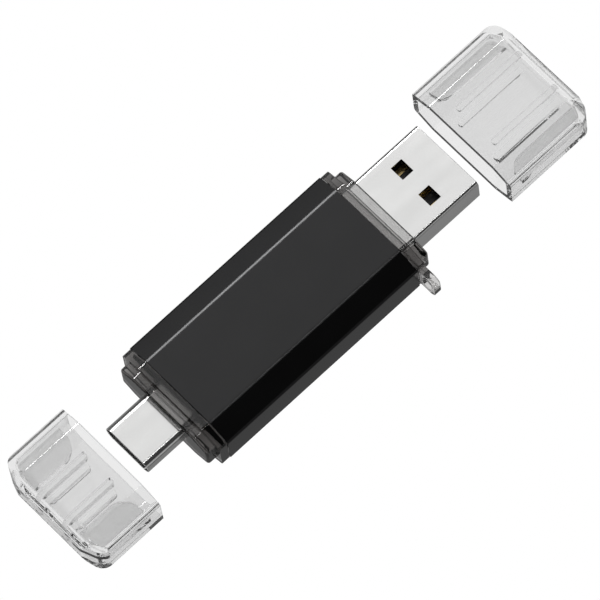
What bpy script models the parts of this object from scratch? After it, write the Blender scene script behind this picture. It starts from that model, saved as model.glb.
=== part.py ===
"""USB flash drive with a USB-A plug at one end, a USB-C plug at the other and a clear pull-off cap for each.

World frame: the origin is the centre of the sleeve's bottom face, +X runs along the drive towards the
USB-A plug, +Z is up. Each end has its own empty at the centre of the sleeve's end face, whose +X points
out of the sleeve, and each cap has one on the slide axis, at the cap's mouth.
"""

import math
from collections import namedtuple

import bmesh
import bpy
from mathutils import Vector

MM = 0.001

# Plugs: the sizes of the two connector standards.
PLUG_A_WIDTH = 12.0 * MM
PLUG_A_HEIGHT = 4.5 * MM
PLUG_A_REACH = 11.5 * MM  # from the frame's front face to the tip
PLUG_A_TAIL = 3.6 * MM  # how far the shell goes back into the sleeve
PLUG_A_SHEET = 0.3 * MM
PLUG_A_CORNER = 0.6 * MM
PLUG_C_WIDTH = 8.25 * MM
PLUG_C_HEIGHT = 2.4 * MM
PLUG_C_REACH = 6.65 * MM
PLUG_C_TAIL = 1.2 * MM
PLUG_C_SHEET = 0.2 * MM
PLUG_C_CORNER = 0.49  # corner radius as a share of the height: the plug's sides are all but half round

# Clearances.
PLUG_FIT = 0.1 * MM  # plug shell to the frame's hole, and each insulator to its shell
SLEEVE_FIT = 0.15 * MM  # frame to the inside of the sleeve
FACE_GAP = 0.1 * MM  # between faces that meet end to end
CAP_FIT = 0.1 * MM  # cap to the frame's boss
CAP_PLUG_FIT = 0.1 * MM  # cap's ribs to the plug
CAP_SIDE_FIT = 0.2 * MM  # cap's side fins to the plug
BOARD_FIT = 0.1 * MM
SOLDER_GAP = 0.1 * MM
CONTACT_FIT = 0.08 * MM
RAIL_END_GAP = 0.3 * MM

# Walls whose stack, with the USB-A plug, sets the drive's height.
CAP_WALL = 1.0 * MM
BOSS_WALL = 0.45 * MM

# Sleeve: an extruded tube with eight flats.
SLEEVE_LENGTH = 34.5 * MM
SLEEVE_WIDTH = 19.0 * MM
SLEEVE_HEIGHT = PLUG_A_HEIGHT + 2 * (PLUG_FIT + BOSS_WALL + CAP_FIT + CAP_WALL)
SLEEVE_WALL = 0.9 * MM
FLAT_MARGIN = 0.1 * MM  # the top flat is this much wider than the USB-A plug on each side
SLEEVE_FLAT = PLUG_A_WIDTH + 2 * FLAT_MARGIN
CHAMFER_DROP = 1.2 * MM
EDGE_RADIUS = 0.25 * MM

# End frames: a band flush with the sleeve, a smaller boss for the cap and a spigot in the sleeve.
BAND_INSET = 0.1 * MM
BAND_LENGTH = 1.3 * MM
BOSS_INSET = CAP_WALL + CAP_FIT
BOSS_A_LENGTH = 1.55 * MM
BOSS_C_LENGTH = 1.5 * MM
SPIGOT_LENGTH = 3.0 * MM
SPIGOT_INSET = SLEEVE_WALL + SLEEVE_FIT
STEP_OVERLAP = 0.5 * MM  # how far joined blocks run into each other
BAND_END = FACE_GAP + BAND_LENGTH
FRONT_A = BAND_END + BOSS_A_LENGTH
FRONT_C = BAND_END + BOSS_C_LENGTH

# Lanyard loop on the USB-A frame's band, at -Y.
LOOP_REACH = 2.8 * MM
LOOP_HEIGHT = 4.3 * MM
LOOP_HOLE_WIDTH = 1.6 * MM
LOOP_HOLE_HEIGHT = 2.1 * MM
LOOP_CORNER = 1.1 * MM
LOOP_HOLE_CORNER = 0.72 * MM

# Circuit board, held in the grooves of the USB-A frame's two rails.
BOARD_THICKNESS = 0.8 * MM
BOARD_A_INSET = 4.3 * MM  # from the sleeve's end face to the board's edge
BOARD_C_INSET = 1.5 * MM
RAIL_BACK = 1.55 * MM  # rail behind the groove
RAIL_LIP = 0.8 * MM  # how far the rail covers the board's edge
RAIL_HEIGHT = 2.4 * MM
BOARD_WIDTH = SLEEVE_WIDTH - 2 * (SPIGOT_INSET + RAIL_BACK)

# USB-A inside: the insulator with its tongue, the windows and the contacts.
PLUG_A_TIP = FRONT_A + PLUG_A_REACH
TONGUE_A_THICKNESS = 1.8 * MM
TONGUE_A_RECESS = 0.55 * MM
BLOCK_A_FRONT = 3.4 * MM
BLOCK_A_REAR = -3.4 * MM
WINDOW_WIDTH = 2.35 * MM
WINDOW_LENGTH = 1.95 * MM
WINDOW_OFFSET = 2.65 * MM
WINDOW_FROM_TIP = 5.8 * MM
CONTACT_A_WIDTH = 1.0 * MM
CONTACT_A_THICKNESS = 0.2 * MM
CONTACT_A_RECESS = 0.9 * MM
CONTACT_A_PLACES = (-3.5 * MM, -1.0 * MM, 1.0 * MM, 3.5 * MM)
TAIL_LENGTH = 1.7 * MM  # of a contact along the board

# USB-C inside: the insulator with its slot, the contacts, the latch spring and the shield springs.
PLUG_C_TIP = FRONT_C + PLUG_C_REACH
INSULATOR_C_RECESS = 0.25 * MM
SLOT_C_WIDTH = 6.7 * MM
SLOT_C_HEIGHT = 0.9 * MM
SLOT_C_DEPTH = 6.0 * MM
CONTACT_C_WIDTH = 0.25 * MM
CONTACT_C_THICKNESS = 0.12 * MM
CONTACT_C_RECESS = 0.8 * MM
CONTACT_C_PITCH = 0.5 * MM
CONTACT_C_MIDDLE = 6.5  # the place between the sixth and the seventh of twelve contacts
UPPER_PINS = (1, 4, 5, 6, 7, 9, 12)
LOWER_PINS = (1, 4, 9, 12)
LATCH_THICKNESS = 0.2 * MM
LATCH_ARM_WIDTH = 0.2 * MM
LATCH_ARM_HEIGHT = 0.5 * MM
LATCH_ARM_RECESS = 1.6 * MM
LATCH_PLATE_LENGTH = 4.0 * MM
SPRING_LENGTH = 2.0 * MM
SPRING_WIDTH = 4.6 * MM
SPRING_THICKNESS = 0.1 * MM
SPRING_RECESS = 1.2 * MM
SPRING_FIT = 0.05 * MM
SPRING_NOTCH = 0.5 * MM

# Caps.
CAP_END_WALL = 1.2 * MM
CAP_CORNER_BACK = 1.3 * MM  # how far the end face's sloped corners fall back at the sides
CAP_CORNER_RADIUS = 1.8 * MM
CAP_END_RADIUS = 2.4 * MM  # on the end face's top and bottom edges
FIN_THICKNESS = 1.0 * MM
RIB_WIDTH = 0.9 * MM
RIB_NOSE = 0.4 * MM  # corner radius of a rib's front end
RIB_SETBACK = 0.3 * MM  # the ribs start this far behind the recess
CAP_AWAY = 2.6 * MM  # from each plug's tip to its cap's mouth, with the cap off

# recess is the depth of the mouth that takes the boss, and rib_offset the place of its two pairs of ribs.
Cap = namedtuple("Cap", "length recess plug_width plug_height fin_radius rib_offset")
CAP_A = Cap(15.6 * MM, 2.2 * MM, PLUG_A_WIDTH, PLUG_A_HEIGHT, 2.2 * MM, 3.4 * MM)
CAP_C = Cap(11.5 * MM, 1.8 * MM, PLUG_C_WIDTH, PLUG_C_HEIGHT, 2.8 * MM, 2.55 * MM)

# Components on the board: (length along X, width along Y, height).
FLASH_SIZE = (13.0 * MM, 11.0 * MM, 1.0 * MM)
CONTROLLER_SIZE = (6.0 * MM, 6.0 * MM, 0.85 * MM)
CRYSTAL_SIZE = (3.2 * MM, 2.5 * MM, 0.7 * MM)
REGULATOR_SIZE = (2.9 * MM, 1.6 * MM, 1.0 * MM)
LED_SIZE = (1.6 * MM, 0.8 * MM, 0.6 * MM)
CAPACITOR_SIZE = (1.6 * MM, 0.8 * MM, 0.8 * MM)
RESISTOR_SIZE = (1.6 * MM, 0.8 * MM, 0.45 * MM)
TERMINAL_LENGTH = 0.3 * MM
TERMINAL_STEP = 0.05 * MM  # the end terminals of a chip part stand this proud of its body
PACKAGE_BEVEL = 0.12 * MM
DIMPLE_RADIUS = 0.4 * MM
DIMPLE_DEPTH = 0.1 * MM
DIMPLE_INSET = 1.2 * MM

ARC_STEPS = 6
FINE_ARC_STEPS = 3
OVERSHOOT = 1.0 * MM  # how far a cutter runs past what it cuts
TRIM_GAP = 0.01 * MM  # keeps a trimming outline's straight sides off the faces that they follow


def clear_scene():
    for obj in list(bpy.data.objects):
        bpy.data.objects.remove(obj)


def make_material(name, color, roughness, metallic=0.0, transmission=0.0):
    material = bpy.data.materials.new(name)
    material.use_nodes = True
    shader = material.node_tree.nodes["Principled BSDF"]
    shader.inputs["Base Color"].default_value = (*color, 1.0)
    shader.inputs["Roughness"].default_value = roughness
    shader.inputs["Metallic"].default_value = metallic
    shader.inputs["Transmission Weight"].default_value = transmission
    material.diffuse_color = (*color, 1.0)
    return material


def make_empty(name, place, turn=0.0, parent=None):
    empty = bpy.data.objects.new(name, None)
    empty.location = place
    empty.rotation_euler = (0.0, 0.0, turn)
    empty.parent = parent
    empty.empty_display_size = 3 * MM
    bpy.context.scene.collection.objects.link(empty)
    return empty


# ---- Outlines, as lists of (across, up) points that run anticlockwise ----


def eight_sided(inset=0.0):
    """The sleeve's outer section, or a parallel section inside it."""
    half_width = SLEEVE_WIDTH / 2
    half_height = SLEEVE_HEIGHT / 2
    half_flat = SLEEVE_FLAT / 2
    quarter = [(half_width, half_height - CHAMFER_DROP), (half_flat, half_height)]
    left = [(-y, z) for y, z in reversed(quarter)]
    upper = quarter + left
    lower = [(-y, -z) for y, z in upper]
    return inset_outline(upper + lower, inset)


def inset_outline(outline, distance):
    """A convex outline whose every side has moved inwards by the distance."""
    moved = []
    for index, corner in enumerate(outline):
        before = Vector(outline[index - 1])
        here = Vector(corner)
        after = Vector(outline[(index + 1) % len(outline)])
        arriving = (here - before).normalized()
        leaving = (after - here).normalized()
        half_turn = arriving.angle(leaving) / 2
        inwards = (leaving - arriving).normalized()
        moved.append(tuple(here + inwards * distance / math.cos(half_turn)))
    return moved


def round_corner(before, corner, after, radius, steps):
    """The points of an arc that replaces one corner of an outline."""
    here = Vector(corner)
    arriving = (here - Vector(before)).normalized()
    leaving = (Vector(after) - here).normalized()
    half_turn = arriving.angle(leaving) / 2
    centre = here + (leaving - arriving).normalized() * radius / math.cos(half_turn)
    spoke = here - arriving * radius * math.tan(half_turn) - centre
    side = 1 if arriving.x * leaving.y - arriving.y * leaving.x > 0 else -1
    points = []
    for step in range(steps + 1):
        angle = side * 2 * half_turn * step / steps
        x = centre.x + spoke.x * math.cos(angle) - spoke.y * math.sin(angle)
        y = centre.y + spoke.x * math.sin(angle) + spoke.y * math.cos(angle)
        points.append((x, y))
    return points


def rounded(outline, radius, steps=FINE_ARC_STEPS):
    """An outline with the same radius on every corner."""
    points = []
    for index, corner in enumerate(outline):
        after = outline[(index + 1) % len(outline)]
        points += round_corner(outline[index - 1], corner, after, radius, steps)
    return points


def rectangle(low_x, low_y, high_x, high_y):
    return [(low_x, low_y), (high_x, low_y), (high_x, high_y), (low_x, high_y)]


def rounded_rectangle(width, height, radius, steps=FINE_ARC_STEPS):
    corners = rectangle(-width / 2, -height / 2, width / 2, height / 2)
    return rounded(corners, radius, steps)


def plug_a_outline(inset=0.0):
    width = PLUG_A_WIDTH - 2 * inset
    height = PLUG_A_HEIGHT - 2 * inset
    return rounded_rectangle(width, height, PLUG_A_CORNER - inset)


def plug_c_outline(inset=0.0):
    """The plug's section, or a parallel section inside or outside it."""
    width = PLUG_C_WIDTH - 2 * inset
    height = PLUG_C_HEIGHT - 2 * inset
    return rounded_rectangle(width, height, PLUG_C_CORNER * height, ARC_STEPS)


def strip_outline(path, thickness):
    """The outline of a flat strip that follows a path of (along, up) points, running along -X."""
    over, under = [], []
    for index, point in enumerate(path):
        here = Vector(point)
        before = Vector(path[max(index - 1, 0)])
        after = Vector(path[min(index + 1, len(path) - 1)])
        across = (after - before).normalized().orthogonal() * thickness / 2
        over.append(tuple(here + across))
        under.append(tuple(here - across))
    return over + under[::-1]


# ---- Solids ----


def add_object(name, mesh, parent, material, is_tool=False):
    obj = bpy.data.objects.new(name, mesh)
    obj.parent = parent
    bpy.context.scene.collection.objects.link(obj)
    if material:
        obj.data.materials.append(material)
    if is_tool:
        obj.hide_render = True
        obj.display_type = "WIRE"
    return obj


def extruded_mesh(name, shapes):
    """A mesh of one closed prism for each (outline, place, low, high).

    place turns an outline's point and a distance into a point of the piece, and the prism runs from low
    to high along that distance.
    """
    shape_mesh = bmesh.new()
    for outline, place, low, high in shapes:
        corners = [shape_mesh.verts.new(place(a, b, low)) for a, b in outline]
        base = shape_mesh.faces.new(corners)
        lifted = bmesh.ops.extrude_face_region(shape_mesh, geom=[base])["geom"]
        travel = place(0, 0, high) - place(0, 0, low)
        moved = [item for item in lifted if isinstance(item, bmesh.types.BMVert)]
        bmesh.ops.translate(shape_mesh, verts=moved, vec=travel)
    bmesh.ops.recalc_face_normals(shape_mesh, faces=shape_mesh.faces)
    mesh = bpy.data.meshes.new(name)
    shape_mesh.to_mesh(mesh)
    shape_mesh.free()
    return mesh


def along_x(y, z, x):
    """Places a (Y, Z) outline that is extruded along X."""
    return Vector((x, y, z))


def along_y(x, z, y):
    """Places an (X, Z) outline that is extruded along Y."""
    return Vector((x, y, z))


def along_z(x, y, z):
    """Places an (X, Y) outline that is extruded along Z."""
    return Vector((x, y, z))


def block(low, high):
    """One box as a prism along Z."""
    return (rectangle(low[0], low[1], high[0], high[1]), along_z, low[2], high[2])


def make_solid(name, shapes, parent, material):
    return add_object(name, extruded_mesh(name, shapes), parent, material)


def make_tool(name, shapes, parent):
    return add_object(name, extruded_mesh(name, shapes), parent, None, is_tool=True)


def combine(obj, operation, tool):
    modifier = obj.modifiers.new(tool.name, "BOOLEAN")
    modifier.operation = operation
    modifier.object = tool
    modifier.solver = "EXACT"


def shade_round(obj):
    obj.data.shade_smooth()
    obj.data.set_sharp_from_angle(angle=math.radians(30))


# ---- Body ----


def make_sleeve(body, materials):
    half = SLEEVE_LENGTH / 2
    outer = rounded(eight_sided(), EDGE_RADIUS)
    sleeve = make_solid("body_sleeve", [(outer, along_x, -half, half)], body, materials["anodised"])
    bore = [(eight_sided(SLEEVE_WALL), along_x, -half - OVERSHOOT, half + OVERSHOOT)]
    combine(sleeve, "DIFFERENCE", make_tool("sleeve_bore", bore, body))
    shade_round(sleeve)


def frame_blocks(front):
    """The spigot, band and boss that both end frames are made of."""
    spigot = rounded(eight_sided(SPIGOT_INSET), EDGE_RADIUS)
    band = rounded(eight_sided(BAND_INSET), EDGE_RADIUS)
    boss = rounded(eight_sided(BOSS_INSET), EDGE_RADIUS)
    return (
        (spigot, along_x, -SPIGOT_LENGTH, FACE_GAP + STEP_OVERLAP),
        (band, along_x, FACE_GAP, BAND_END),
        (boss, along_x, BAND_END - STEP_OVERLAP, front),
    )


def make_end_frame(name, front, hole, end, material):
    """An end frame with the hole that its plug passes through."""
    spigot, band, boss = frame_blocks(front)
    frame = make_solid(name, [band], end, material)
    combine(frame, "UNION", make_tool(name + "_spigot", [spigot], end))
    combine(frame, "UNION", make_tool(name + "_boss", [boss], end))
    shade_round(frame)
    bore = [(hole, along_x, -SPIGOT_LENGTH - OVERSHOOT, front + OVERSHOOT)]
    return frame, make_tool(name + "_hole", bore, end)


def rail_blocks():
    """Two rails along the sleeve's side walls, from the USB-A spigot to just short of the other one."""
    rear = -(SLEEVE_LENGTH - SPIGOT_LENGTH - RAIL_END_GAP)
    front = -SPIGOT_LENGTH + STEP_OVERLAP
    outer = SLEEVE_WIDTH / 2 - SPIGOT_INSET
    inner = BOARD_WIDTH / 2 - RAIL_LIP
    top = RAIL_HEIGHT / 2
    return [
        block((rear, inner, -top), (front, outer, top)),
        block((rear, -outer, -top), (front, -inner, top)),
    ]


def board_groove(low_x, high_x):
    half_width = BOARD_WIDTH / 2 + BOARD_FIT
    half_height = BOARD_THICKNESS / 2 + BOARD_FIT
    return block((low_x, -half_width, -half_height), (high_x, half_width, half_height))


def loop_blocks():
    """The lanyard loop, which starts inside the band, and its hole."""
    root = -SLEEVE_WIDTH / 2 + STEP_OVERLAP + BAND_INSET
    tip = -SLEEVE_WIDTH / 2 - LOOP_REACH
    top = LOOP_HEIGHT / 2
    corners = rectangle(tip, -top, root, top)
    outer_low = round_corner(corners[3], corners[0], corners[1], LOOP_CORNER, ARC_STEPS)
    outer_high = round_corner(corners[2], corners[3], corners[0], LOOP_CORNER, ARC_STEPS)
    outline = outer_low + corners[1:3] + outer_high
    middle = -SLEEVE_WIDTH / 2 - LOOP_REACH / 2 + BAND_INSET
    hole = [
        (y + middle, z)
        for y, z in rounded_rectangle(LOOP_HOLE_WIDTH, LOOP_HOLE_HEIGHT, LOOP_HOLE_CORNER, ARC_STEPS)
    ]
    solid = (outline, along_x, FACE_GAP + BAND_INSET, BAND_END - BAND_INSET)
    return solid, (hole, along_x, FACE_GAP - OVERSHOOT, BAND_END + OVERSHOOT)


def make_end_frames(end_a, end_c, materials):
    smoke = materials["smoke"]
    frame, hole = make_end_frame("usb_a_end_frame", FRONT_A, plug_a_outline(-PLUG_FIT), end_a, smoke)
    loop, loop_hole = loop_blocks()
    combine(frame, "UNION", make_tool("usb_a_end_frame_loop", [loop], end_a))
    combine(frame, "UNION", make_tool("usb_a_end_frame_rails", rail_blocks(), end_a))
    combine(frame, "DIFFERENCE", hole)
    combine(frame, "DIFFERENCE", make_tool("loop_hole", [loop_hole], end_a))
    groove = board_groove(-SLEEVE_LENGTH, -BOARD_A_INSET + BOARD_FIT)
    combine(frame, "DIFFERENCE", make_tool("rail_grooves", [groove], end_a))

    frame, hole = make_end_frame("usb_c_end_frame", FRONT_C, plug_c_outline(-PLUG_FIT), end_c, smoke)
    combine(frame, "DIFFERENCE", hole)
    slot = board_groove(-SPIGOT_LENGTH - OVERSHOOT, -BOARD_C_INSET + BOARD_FIT)
    combine(frame, "DIFFERENCE", make_tool("board_slot", [slot], end_c))


def make_board(body, materials):
    low = (-SLEEVE_LENGTH / 2 + BOARD_C_INSET, -BOARD_WIDTH / 2, -BOARD_THICKNESS / 2)
    high = (SLEEVE_LENGTH / 2 - BOARD_A_INSET, BOARD_WIDTH / 2, BOARD_THICKNESS / 2)
    make_solid("circuit_board", [block(low, high)], body, materials["board"])


# ---- USB-A plug ----


def window_blocks():
    """The two windows in the shell's top, cut through its bottom as well."""
    blocks = []
    middle = PLUG_A_TIP - WINDOW_FROM_TIP
    reach = PLUG_A_HEIGHT / 2 + OVERSHOOT
    for offset in (-WINDOW_OFFSET, WINDOW_OFFSET):
        low = (middle - WINDOW_LENGTH / 2, offset - WINDOW_WIDTH / 2, -reach)
        high = (middle + WINDOW_LENGTH / 2, offset + WINDOW_WIDTH / 2, reach)
        blocks.append(block(low, high))
    return blocks


def make_plug_a_shell(end, materials):
    rear = -PLUG_A_TAIL
    tube = [(plug_a_outline(), along_x, rear, PLUG_A_TIP)]
    shell = make_solid("usb_a_shell", tube, end, materials["steel"])
    bore = [(plug_a_outline(PLUG_A_SHEET), along_x, rear - OVERSHOOT, PLUG_A_TIP + OVERSHOOT)]
    combine(shell, "DIFFERENCE", make_tool("usb_a_shell_bore", bore, end))
    combine(shell, "DIFFERENCE", make_tool("usb_a_windows", window_blocks(), end))
    shade_round(shell)


def tongue_a_top():
    return -PLUG_A_HEIGHT / 2 + PLUG_A_SHEET + PLUG_FIT + TONGUE_A_THICKNESS


def make_plug_a_insulator(end, materials):
    """A block that closes the shell's rear, with a flat tongue that runs forward from it."""
    top = tongue_a_top()
    tip = PLUG_A_TIP - TONGUE_A_RECESS
    outline = plug_a_outline(PLUG_A_SHEET + PLUG_FIT)
    solid = [(outline, along_x, BLOCK_A_REAR, tip)]
    insulator = make_solid("usb_a_insulator", solid, end, materials["black_plastic"])
    across = PLUG_A_WIDTH / 2
    room = block((BLOCK_A_FRONT, -across, top), (PLUG_A_TIP, across, PLUG_A_HEIGHT))
    combine(insulator, "DIFFERENCE", make_tool("usb_a_socket_room", [room], end))
    channels = []
    floor = top - CONTACT_A_THICKNESS - CONTACT_FIT
    for place in CONTACT_A_PLACES:
        side = CONTACT_A_WIDTH / 2 + CONTACT_FIT
        low = (BLOCK_A_REAR - OVERSHOOT, place - side, floor)
        high = (tip - CONTACT_A_RECESS + CONTACT_FIT, place + side, top + CONTACT_FIT)
        channels.append(block(low, high))
    combine(insulator, "DIFFERENCE", make_tool("usb_a_channels", channels, end))


def make_plug_a_contacts(end, materials):
    level = tongue_a_top() - CONTACT_A_THICKNESS / 2
    solder_level = BOARD_THICKNESS / 2 + SOLDER_GAP + CONTACT_A_THICKNESS / 2
    front = PLUG_A_TIP - TONGUE_A_RECESS - CONTACT_A_RECESS
    bend = BLOCK_A_REAR - CONTACT_FIT
    path = [
        (front, level),
        (bend, level),
        (bend - SOLDER_GAP - CONTACT_A_THICKNESS, solder_level),
        (-BOARD_A_INSET - TAIL_LENGTH, solder_level),
    ]
    outline = strip_outline(path, CONTACT_A_THICKNESS)
    for number, place in enumerate(CONTACT_A_PLACES, start=1):
        low, high = place - CONTACT_A_WIDTH / 2, place + CONTACT_A_WIDTH / 2
        name = f"usb_a_contact_{number}"
        make_solid(name, [(outline, along_y, low, high)], end, materials["gold"])


# ---- USB-C plug ----


def contact_c_level():
    """The height of a contact's middle line in the slot's roof, from the plug's middle."""
    return SLOT_C_HEIGHT / 2 + CONTACT_C_THICKNESS / 2


def pin_place(pin):
    return (pin - CONTACT_C_MIDDLE) * CONTACT_C_PITCH


def insulator_c_tip():
    return PLUG_C_TIP - INSULATOR_C_RECESS


def make_plug_c_shell(end, materials):
    rear = -PLUG_C_TAIL
    tube = [(plug_c_outline(), along_x, rear, PLUG_C_TIP)]
    shell = make_solid("usb_c_shell", tube, end, materials["steel"])
    bore = [(plug_c_outline(PLUG_C_SHEET), along_x, rear - OVERSHOOT, PLUG_C_TIP + OVERSHOOT)]
    combine(shell, "DIFFERENCE", make_tool("usb_c_shell_bore", bore, end))
    shade_round(shell)


def contact_c_channels():
    """Grooves in the slot's roof and floor that go on to the insulator's rear."""
    blocks = []
    near = SLOT_C_HEIGHT / 2 - CONTACT_FIT
    far = SLOT_C_HEIGHT / 2 + CONTACT_C_THICKNESS + CONTACT_FIT
    rear = -PLUG_C_TAIL - OVERSHOOT
    front = insulator_c_tip() - CONTACT_C_RECESS + CONTACT_FIT
    side = CONTACT_C_WIDTH / 2 + CONTACT_FIT
    for pins, low, high in ((UPPER_PINS, near, far), (LOWER_PINS, -far, -near)):
        for pin in pins:
            place = pin_place(pin)
            blocks.append(block((rear, place - side, low), (front, place + side, high)))
    return blocks


def spring_pockets():
    """Pockets in the insulator's top and bottom for the two shield springs."""
    blocks = []
    front = insulator_c_tip() - SPRING_RECESS
    surface = PLUG_C_HEIGHT / 2 - PLUG_C_SHEET - PLUG_FIT
    floor = surface - SPRING_THICKNESS - SPRING_FIT
    low_x = front - SPRING_LENGTH - SPRING_FIT
    half_width = SPRING_WIDTH / 2 + SPRING_FIT
    for side in (1, -1):
        low_z, high_z = sorted((side * floor, side * (surface + OVERSHOOT)))
        low = (low_x, -half_width, low_z)
        blocks.append(block(low, (front + SPRING_FIT, half_width, high_z)))
    return blocks


def make_plug_c_insulator(end, materials):
    tip = insulator_c_tip()
    slot_floor = tip - SLOT_C_DEPTH
    outline = plug_c_outline(PLUG_C_SHEET + PLUG_FIT)
    solid = [(outline, along_x, -PLUG_C_TAIL, tip)]
    insulator = make_solid("usb_c_insulator", solid, end, materials["black_plastic"])
    half_slot = SLOT_C_WIDTH / 2
    slot = block(
        (slot_floor, -half_slot, -SLOT_C_HEIGHT / 2), (tip + OVERSHOOT, half_slot, SLOT_C_HEIGHT / 2)
    )
    half_gap = LATCH_THICKNESS / 2 + CONTACT_FIT
    plate_gap = block(
        (-PLUG_C_TAIL - OVERSHOOT, -half_slot, -half_gap), (slot_floor + OVERSHOOT, half_slot, half_gap)
    )
    combine(insulator, "DIFFERENCE", make_tool("usb_c_slot", [slot], end))
    combine(insulator, "DIFFERENCE", make_tool("latch_plate_gap", [plate_gap], end))
    combine(insulator, "DIFFERENCE", make_tool("usb_c_channels", contact_c_channels(), end))
    combine(insulator, "DIFFERENCE", make_tool("spring_pockets", spring_pockets(), end))
    shade_round(insulator)


def make_plug_c_contacts(end, materials):
    front = insulator_c_tip() - CONTACT_C_RECESS
    level = contact_c_level()
    solder_level = BOARD_THICKNESS / 2 + SOLDER_GAP + CONTACT_C_THICKNESS / 2
    bend = -PLUG_C_TAIL - CONTACT_FIT
    path = [
        (front, level),
        (bend, level),
        (-BOARD_C_INSET + CONTACT_FIT, solder_level),
        (-BOARD_C_INSET - TAIL_LENGTH, solder_level),
    ]
    upper = strip_outline(path, CONTACT_C_THICKNESS)
    lower = strip_outline([(x, -z) for x, z in path], CONTACT_C_THICKNESS)
    for row, pins, outline in (("upper", UPPER_PINS, upper), ("lower", LOWER_PINS, lower)):
        for pin in pins:
            place = pin_place(pin)
            low, high = place - CONTACT_C_WIDTH / 2, place + CONTACT_C_WIDTH / 2
            name = f"usb_c_{row}_contact_{pin:02d}"
            make_solid(name, [(outline, along_y, low, high)], end, materials["gold"])


def make_latch_spring(end, materials):
    """A flat plate in the insulator's middle with an upright latch arm along each side of the slot."""
    slot_floor = insulator_c_tip() - SLOT_C_DEPTH
    front = slot_floor + STEP_OVERLAP
    half_plate = SLOT_C_WIDTH / 2 - CONTACT_FIT
    plate = block(
        (front - LATCH_PLATE_LENGTH, -half_plate, -LATCH_THICKNESS / 2),
        (front, half_plate, LATCH_THICKNESS / 2),
    )
    spring = make_solid("usb_c_latch_spring", [plate], end, materials["steel"])
    arms = []
    arm_front = insulator_c_tip() - LATCH_ARM_RECESS
    for side in (-1, 1):
        low_y, high_y = sorted((side * half_plate, side * (half_plate - LATCH_ARM_WIDTH)))
        arms.append(
            block(
                (slot_floor + CONTACT_FIT, low_y, -LATCH_ARM_HEIGHT / 2),
                (arm_front, high_y, LATCH_ARM_HEIGHT / 2),
            )
        )
    combine(spring, "UNION", make_tool("latch_arms", arms, end))


def make_shield_springs(end, materials):
    """Two thin plates between the insulator and the shell, each with a notch in its front edge."""
    front = insulator_c_tip() - SPRING_RECESS
    surface = PLUG_C_HEIGHT / 2 - PLUG_C_SHEET - PLUG_FIT
    half = SPRING_WIDTH / 2
    notch = SPRING_NOTCH
    outline = [
        (front - SPRING_LENGTH, -half),
        (front, -half),
        (front, -notch),
        (front - notch, -notch),
        (front - notch, notch),
        (front, notch),
        (front, half),
        (front - SPRING_LENGTH, half),
    ]
    for name, low in (
        ("usb_c_shield_spring_upper", surface - SPRING_THICKNESS),
        ("usb_c_shield_spring_lower", -surface),
    ):
        make_solid(name, [(outline, along_z, low, low + SPRING_THICKNESS)], end, materials["steel"])


# ---- Components ----


def board_level(side, height):
    """The low and high Z of a component that stands on the board's top (side 1) or bottom (side -1)."""
    near = BOARD_THICKNESS / 2 + SOLDER_GAP
    return sorted((side * near, side * (near + height)))


def make_package(name, size, place, side, body, material):
    """A moulded chip with bevelled edges and a round dimple that marks its first contact."""
    low_z, high_z = board_level(side, size[2])
    low = (place[0] - size[0] / 2, place[1] - size[1] / 2, low_z)
    high = (place[0] + size[0] / 2, place[1] + size[1] / 2, high_z)
    package = make_solid(name, [block(low, high)], body, material)
    bevel = package.modifiers.new("edges", "BEVEL")
    bevel.width = PACKAGE_BEVEL
    bevel.segments = 1
    face = high_z if side > 0 else low_z
    centre = (low[0] + DIMPLE_INSET, low[1] + DIMPLE_INSET)
    circle = [
        (
            centre[0] + DIMPLE_RADIUS * math.cos(math.tau * step / (2 * ARC_STEPS)),
            centre[1] + DIMPLE_RADIUS * math.sin(math.tau * step / (2 * ARC_STEPS)),
        )
        for step in range(2 * ARC_STEPS)
    ]
    bottom, top = sorted((face - side * DIMPLE_DEPTH, face + side * OVERSHOOT))
    combine(package, "DIFFERENCE", make_tool(name + "_dimple", [(circle, along_z, bottom, top)], body))


def make_chip_part(name, size, place, side, body, material):
    """A capacitor, resistor or lamp: a small brick with a slightly larger metal cap on each end."""
    low_z, high_z = board_level(side, size[2])
    half_x, half_y = size[0] / 2, size[1] / 2
    step = TERMINAL_STEP
    inner = half_x - TERMINAL_LENGTH
    terminal = rectangle(-half_y, low_z, half_y, high_z)
    waist = rectangle(-half_y + step, low_z + step, half_y - step, high_z - step)
    brick = [(waist, along_x, -inner - step, inner + step)]
    part = make_solid(name, brick, body, material)
    for number, ends in enumerate(((-half_x, -inner), (inner, half_x)), start=1):
        tool = make_tool(f"{name}_terminal_{number}", [(terminal, along_x, *ends)], body)
        tool.location = (place[0], place[1], 0)
        combine(part, "UNION", tool)
    part.location = (place[0], place[1], 0)


def make_components(body, materials):
    chip = materials["chip"]
    make_package("flash_memory_chip", FLASH_SIZE, (-2.5 * MM, 0), 1, body, chip)
    make_package("controller_chip", CONTROLLER_SIZE, (0, 0), -1, body, chip)
    make_package("voltage_regulator", REGULATOR_SIZE, (-6.8 * MM, -2.6 * MM), -1, body, chip)
    make_package("clock_crystal", CRYSTAL_SIZE, (7.0 * MM, 1.5 * MM), -1, body, materials["steel"])
    make_chip_part("activity_lamp", LED_SIZE, (8.6 * MM, 4.2 * MM), 1, body, materials["lamp"])
    capacitors = (
        (1, (7.0 * MM, -1.6 * MM), 1),
        (2, (-11.3 * MM, 3.6 * MM), 1),
        (3, (-6.8 * MM, 2.4 * MM), -1),
        (4, (5.6 * MM, -3.6 * MM), -1),
    )
    resistors = (
        (1, (8.6 * MM, 1.2 * MM), 1),
        (2, (-11.3 * MM, -3.6 * MM), 1),
        (3, (-10.6 * MM, 0), -1),
    )
    for number, place, side in capacitors:
        make_chip_part(f"capacitor_{number}", CAPACITOR_SIZE, place, side, body, materials["ceramic"])
    for number, place, side in resistors:
        make_chip_part(f"resistor_{number}", RESISTOR_SIZE, place, side, body, materials["chip"])


# ---- Caps ----


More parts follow.
